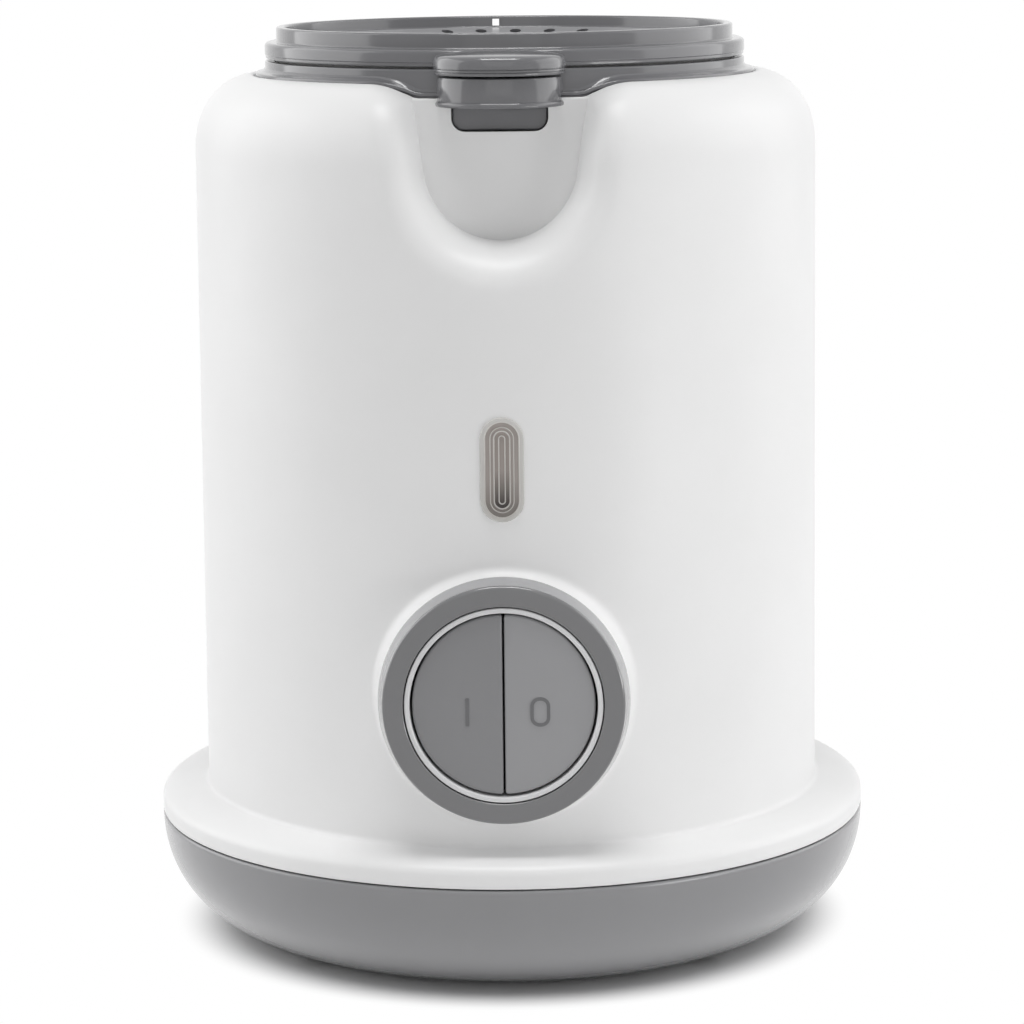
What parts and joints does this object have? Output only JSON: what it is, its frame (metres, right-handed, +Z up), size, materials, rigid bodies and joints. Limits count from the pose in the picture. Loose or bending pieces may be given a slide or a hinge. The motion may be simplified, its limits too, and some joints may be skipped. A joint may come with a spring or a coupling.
{
  "type": "baby food warmer",
  "caption": "Round bottle and baby food warmer with a vented lid, a lift-out basket in a heated tank, a finger scoop, two push keys and a pilot lamp.",
  "frame": {"origin": "on the table, under the middle of the round base", "axes": "+Z up, the front with the keys faces -Y, +X to the right seen from the front"},
  "size_m": [0.16, 0.16, 0.2033],
  "materials": {
    "white_shell": "smooth moulded, semi-gloss",
    "grey_shell": "fine matt grey moulding",
    "key_grey": "fine matt grey moulding",
    "trim": "pale satin",
    "lens": "translucent smoky moulding",
    "lamp": "clear moulding",
    "rubber": "matt",
    "steel": "zinc plated",
    "tank_metal": "drawn and coated",
    "aluminium": "cast",
    "element_metal": "oxidised tube",
    "dark_plastic": "moulded",
    "white_ceramic": "moulded",
    "board": "coated board"
  },
  "bodies": {
    "housing": {"outer_shell": "white_shell", "base_pan": "grey_shell", "rubber_feet": "rubber", "base_screws": "steel", "water_tank": "tank_metal", "tank_seal": "rubber", "heating_plate": "aluminium", "heating_element": "element_metal", "heater_clamp": "steel", "clamp_screws": "steel", "thermostat": "dark_plastic", "thermal_fuse": "white_ceramic", "fuse_clip": "steel", "button_bezel": "grey_shell", "trim_ring": "trim", "key_frame": "dark_plastic", "on_key_spring": "steel", "off_key_spring": "steel", "control_board": "board", "key_switches": "dark_plastic", "relay": "dark_plastic", "supply_capacitor": "dark_plastic", "board_screws": "steel", "indicator_lens": "lens", "lamp_holder": "dark_plastic", "lamp_board": "board", "indicator_lamp": "lamp", "terminal_block": "white_ceramic", "cord_gland": "rubber"},
    "lift_basket": {"lift_basket": "grey_shell"},
    "steam_lid": {"steam_lid": "grey_shell", "lid_seal": "rubber"},
    "on_key": {"on_key": "key_grey"},
    "off_key": {"off_key": "key_grey"}
  },
  "joints": [
    {"name": "basket_lift", "type": "slide", "parent": "housing", "child": "lift_basket", "axis": [0, 0, 1], "range_m": [0, 0.13]},
    {"name": "lid_lift", "type": "slide", "parent": "lift_basket", "child": "steam_lid", "axis": [0, 0, 1], "range_m": [0, 0.16]},
    {"name": "on_key_press", "type": "slide", "parent": "housing", "child": "on_key", "axis": [0, 1, 0], "range_m": [0, 0.0018], "stiffness_N_per_m": 900, "deforming": ["on_key_spring"]},
    {"name": "off_key_press", "type": "slide", "parent": "housing", "child": "off_key", "axis": [0, 1, 0], "range_m": [0, 0.0018], "stiffness_N_per_m": 900, "deforming": ["off_key_spring"]}
  ]
}
